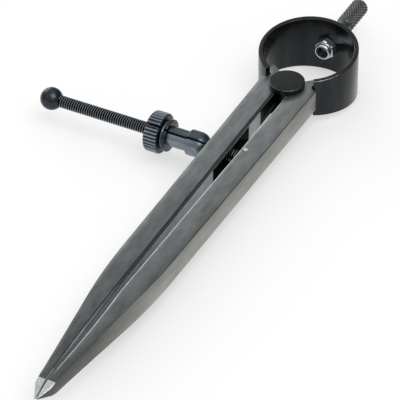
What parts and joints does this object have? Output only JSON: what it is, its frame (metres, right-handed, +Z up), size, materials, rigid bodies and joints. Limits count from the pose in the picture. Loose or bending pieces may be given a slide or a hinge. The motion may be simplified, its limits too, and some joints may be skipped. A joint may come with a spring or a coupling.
{
  "type": "marking divider",
  "caption": "Bow-spring marking divider: pointed steel legs turn on a fulcrum stud, a round bow with a knurled handle grips them, and a screw with a split quick nut sets the opening.",
  "frame": {"origin": "under the middle of the tool's bounding box, level with the lowest point of the bow's rim", "axes": "+Y from the points to the handle, +X from the ball to the swivel pin, +Z up out of the flat"},
  "size_m": [0.1356, 0.3426, 0.031],
  "materials": {
    "black_oxide_steel": "black oxide, satin",
    "grip_steel": "knurled, phosphate grey",
    "zinc_steel": "bright zinc",
    "insert_nylon": "matt",
    "ground_steel": "ground, satin",
    "dark_steel": "blue-black oxide",
    "bright_steel": "turned, bright"
  },
  "bodies": {
    "bow": {"bow_spring": "black_oxide_steel", "handle": "grip_steel", "lock_nut": "zinc_steel", "lock_nut_insert": "insert_nylon"},
    "fulcrum": {"fulcrum_stud": "black_oxide_steel", "fulcrum_washer": "black_oxide_steel"},
    "right_leg": {"right_leg": "ground_steel", "swivel_pin": "bright_steel"},
    "left_leg": {"left_leg": "ground_steel"},
    "screw": {"adjusting_screw": "dark_steel", "ball_stop": "dark_steel"},
    "nut_ring": {"nut_ring": "bright_steel"},
    "nut": {"nut_half_upper": "dark_steel", "nut_half_lower": "bright_steel"}
  },
  "joints": [
    {"name": "fulcrum_shift", "type": "slide", "parent": "bow", "child": "fulcrum", "axis": [0, -1, 0], "range_m": [0, 0.00595]},
    {"name": "right_leg_swing", "type": "hinge", "parent": "fulcrum", "child": "right_leg", "pos_m": [0.0423, 0.08275, 0.0155], "axis": [0, 0, 1], "range_deg": [0, 25]},
    {"name": "left_leg_swing", "type": "hinge", "parent": "fulcrum", "child": "left_leg", "pos_m": [0.0423, 0.08275, 0.0155], "axis": [0, 0, 1], "range_deg": [-25, 0]},
    {"name": "screw_swivel", "type": "hinge", "parent": "right_leg", "child": "screw", "pos_m": [0.0475, 0.02625, 0.0155], "axis": [0, 0, 1], "range_deg": [-25, 0]},
    {"name": "nut_travel", "type": "slide", "parent": "screw", "child": "nut_ring", "axis": [-1, 0, 0], "range_m": [0, 0.0492]},
    {"name": "nut_spin", "type": "hinge", "parent": "nut_ring", "child": "nut", "pos_m": [0.0023, 0.02625, 0.0155], "axis": [-1, 0, 0], "range_deg": [0, 13946]}
  ],
  "couplings": [
    {"joint": "left_leg_swing", "follows": "right_leg_swing", "ratio": -1},
    {"joint": "screw_swivel", "follows": "right_leg_swing", "ratio": -1},
    {"joint": "fulcrum_shift", "follows": "right_leg_swing", "m_per_rad": 0.0136},
    {"joint": "nut_travel", "follows": "right_leg_swing", "m_per_rad": 0.11275},
    {"joint": "nut_spin", "follows": "right_leg_swing", "ratio": 557.82}
  ]
}
